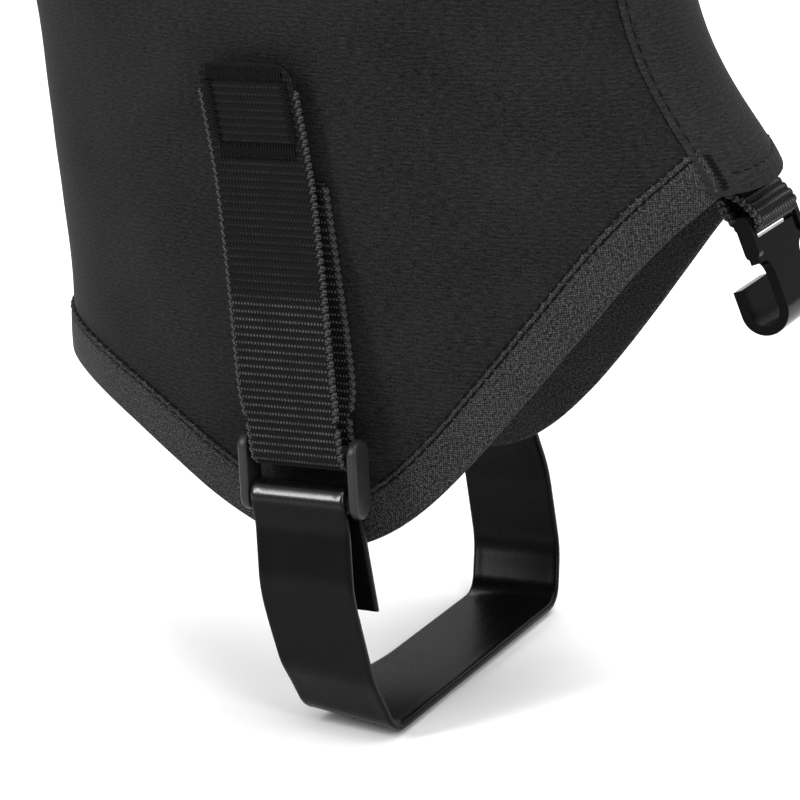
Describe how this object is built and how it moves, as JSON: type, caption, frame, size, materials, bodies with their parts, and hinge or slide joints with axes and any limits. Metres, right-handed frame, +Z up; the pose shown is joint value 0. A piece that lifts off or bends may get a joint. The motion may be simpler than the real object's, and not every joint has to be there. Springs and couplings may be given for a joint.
{
  "type": "hiking gaiter",
  "caption": "Knee-high fabric hiking gaiter with a front placket, adjustable instep strap on a webbing ring buckle, lace hook and calf cinch.",
  "frame": {"origin": "bottom centre of the bounding box, on the level of the lowest point of the instep strap", "axes": "+X towards the toe, +Y towards the other leg (medial), +Z up the leg"},
  "size_m": [0.206, 0.1256, 0.4337],
  "materials": {
    "shell_fabric": "fine matt weave, coated",
    "hem_fabric": "coarse plain weave",
    "placket_fabric": "fine matt weave, doubled",
    "hook_tape": "hook side of a hook-and-loop tape",
    "loop_tape": "loop side of a hook-and-loop tape",
    "elastic": "ribbed elastic",
    "webbing": "ribbed polyester webbing",
    "strap_tpu": "satin moulded polyurethane",
    "ring_plastic": "fine matt moulding",
    "hook_plastic": "glossy moulding",
    "steel": "dark nickel"
  },
  "bodies": {
    "gaiter": {"main_body_panel": "shell_fabric", "hem_band": "hem_fabric", "body_loop_tape": "loop_tape", "top_cuff": "hem_fabric", "cuff_elastic": "elastic", "cinch_webbing": "webbing", "cinch_tail_tip": "webbing", "buckle_anchor_tab": "webbing", "cam_buckle_frame": "ring_plastic", "cam_lever_pin": "steel", "buckle_webbing": "webbing", "tab_loop_patch": "loop_tape", "strap_rivet": "steel", "rivet_washer": "steel", "anchor_patch": "hem_fabric", "lace_hook_webbing": "webbing"},
    "placket": {"placket": "placket_fabric", "placket_hook_tape": "hook_tape"},
    "adjuster_tab": {"adjuster_tab": "webbing", "tab_hook_patch": "hook_tape"},
    "strap": {"instep_strap": "strap_tpu"},
    "ring": {"instep_ring": "ring_plastic"},
    "lace_hook": {"lace_hook": "hook_plastic"},
    "cam_lever": {"cam_buckle_lever": "ring_plastic"}
  },
  "joints": [
    {"name": "placket_open", "type": "hinge", "parent": "gaiter", "child": "placket", "pos_m": [0.06369, -0.01551, 0.17966], "axis": [0.0441, 0, -0.999], "range_deg": [0, 95]},
    {"name": "tab_peel", "type": "hinge", "parent": "gaiter", "child": "adjuster_tab", "pos_m": [-0.00166, -0.05286, 0.07844], "axis": [0.9986, 0, 0.0523], "range_deg": [0, 110]},
    {"name": "strap_swing", "type": "hinge", "parent": "gaiter", "child": "strap", "pos_m": [-0.00032, -0.04931, 0.07065], "axis": [0, 1, 0], "range_deg": [-12, 12], "deforming": ["buckle_webbing"]},
    {"name": "ring_tilt", "type": "hinge", "parent": "strap", "child": "ring", "pos_m": [0.0003, -0.04931, 0.05867], "axis": [0.9986, 0, 0.0523], "range_deg": [-8, 25], "deforming": ["buckle_webbing"]},
    {"name": "lace_hook_swing", "type": "hinge", "parent": "gaiter", "child": "lace_hook", "pos_m": [0.09319, 0.00589, 0.12646], "axis": [0, 1, 0], "range_deg": [-60, 20]},
    {"name": "cam_lever_open", "type": "hinge", "parent": "gaiter", "child": "cam_lever", "pos_m": [-0.00395, -0.06024, 0.42066], "axis": [0, 0, -1], "range_deg": [0, 70]}
  ]
}
